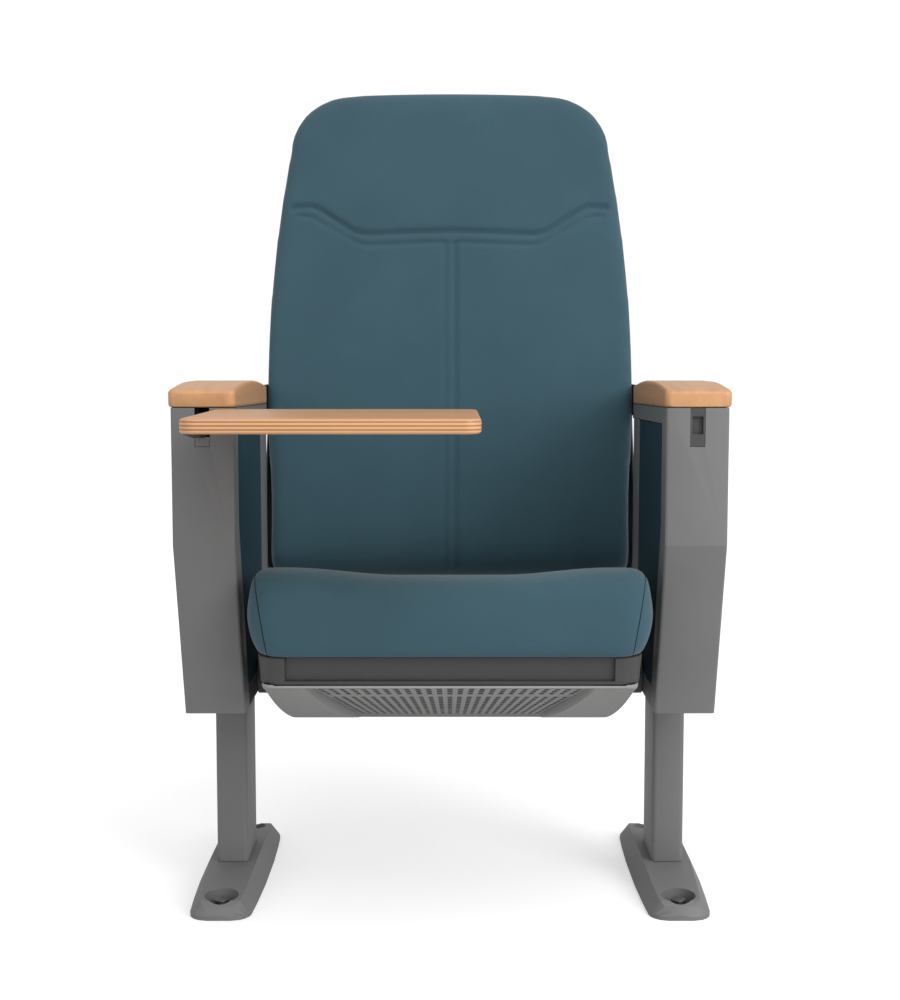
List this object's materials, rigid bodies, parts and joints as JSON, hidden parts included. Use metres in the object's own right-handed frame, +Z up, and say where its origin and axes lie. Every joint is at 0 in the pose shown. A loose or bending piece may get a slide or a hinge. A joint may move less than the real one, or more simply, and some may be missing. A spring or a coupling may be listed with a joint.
{
  "type": "tip-up auditorium chair with folding writing tablet",
  "caption": "Floor-mounted upholstered tip-up seat between two pedestal standards with wooden armrests and a flip-up writing tablet for note taking.",
  "frame": {"origin": "middle of the bounding box on the floor plane, where the feet stand", "axes": "+Z up, +X to the right of someone who looks at the chair's front, +Y to the rear of the chair"},
  "size_m": [0.6454, 0.7882, 1.047],
  "materials": {
    "teal_cloth": "matte woven upholstery, fine weave",
    "teal_panel": "matte cloth-covered panel",
    "grey_paint": "fine textured mid-grey powder coat",
    "cast_grey": "mid-grey painted casting",
    "dark_plastic": "dark grey moulded, fine grain",
    "light_plastic": "mid-grey moulded, fine grain",
    "beech": "clear satin lacquer on steamed beech",
    "plywood": "clear satin lacquer on beech plywood, plies bare at the edge",
    "black_steel": "black semi-gloss",
    "steel": "zinc plated",
    "rubber": "matte"
  },
  "bodies": {
    "frame": {"arm_pivot_pin": "steel", "armrest_right": "beech", "back_bracket_left": "dark_plastic", "back_bracket_right": "dark_plastic", "back_cushion": "teal_cloth", "back_shell": "dark_plastic", "base_tray_left": "grey_paint", "base_tray_right": "grey_paint", "bracket_screw_lower_left": "black_steel", "bracket_screw_lower_right": "black_steel", "bracket_screw_upper_left": "black_steel", "bracket_screw_upper_right": "black_steel", "column_left": "grey_paint", "column_right": "grey_paint", "foot_bolt_front_left": "steel", "foot_bolt_front_right": "steel", "foot_bolt_rear_left": "steel", "foot_bolt_rear_right": "steel", "foot_left": "cast_grey", "foot_right": "cast_grey", "inner_panel_left": "teal_panel", "inner_panel_right": "teal_panel", "lid_hinge_pin": "black_steel", "nose_cover_left": "grey_paint", "nose_cover_right": "grey_paint", "outer_panel_left": "teal_panel", "outer_panel_right": "teal_panel", "rear_cover_left": "grey_paint", "rear_cover_right": "grey_paint", "seat_hub_left": "dark_plastic", "seat_hub_right": "dark_plastic", "seat_shaft": "black_steel", "slot_plug": "dark_plastic", "stop_collar_left": "black_steel", "stop_collar_right": "black_steel", "stop_pad_left": "rubber", "stop_pad_right": "rubber", "tablet_arm": "black_steel", "tablet_flip_pin": "steel", "top_rail_left": "grey_paint", "top_rail_right": "grey_paint"},
    "seat": {"seat_cushion": "teal_cloth", "seat_pan": "dark_plastic", "seat_cover": "light_plastic", "seat_arm_left": "black_steel", "seat_arm_right": "black_steel", "seat_bush_left": "rubber", "seat_bush_right": "rubber", "return_spring_left": "steel", "return_spring_right": "steel"},
    "armrest_lid": {"armrest_left": "beech"},
    "tablet": {"tablet_board": "plywood", "tablet_plate": "black_steel", "tablet_screw_front": "steel", "tablet_screw_rear": "steel"}
  },
  "joints": [
    {"name": "seat_tip", "type": "hinge", "parent": "frame", "child": "seat", "pos_m": [0, 0.07544, 0.275], "axis": [-1, 0, 0], "range_deg": [0, 74]},
    {"name": "armrest_lid", "type": "hinge", "parent": "frame", "child": "armrest_lid", "pos_m": [-0.31725, -0.12956, 0.6201], "axis": [0, -0.9998, 0.0203], "range_deg": [0, 100]},
    {"name": "tablet_flip", "type": "hinge", "parent": "frame", "child": "tablet", "pos_m": [-0.268, -0.17456, 0.6037], "axis": [0, -1, 0], "range_deg": [0, 90]}
  ]
}
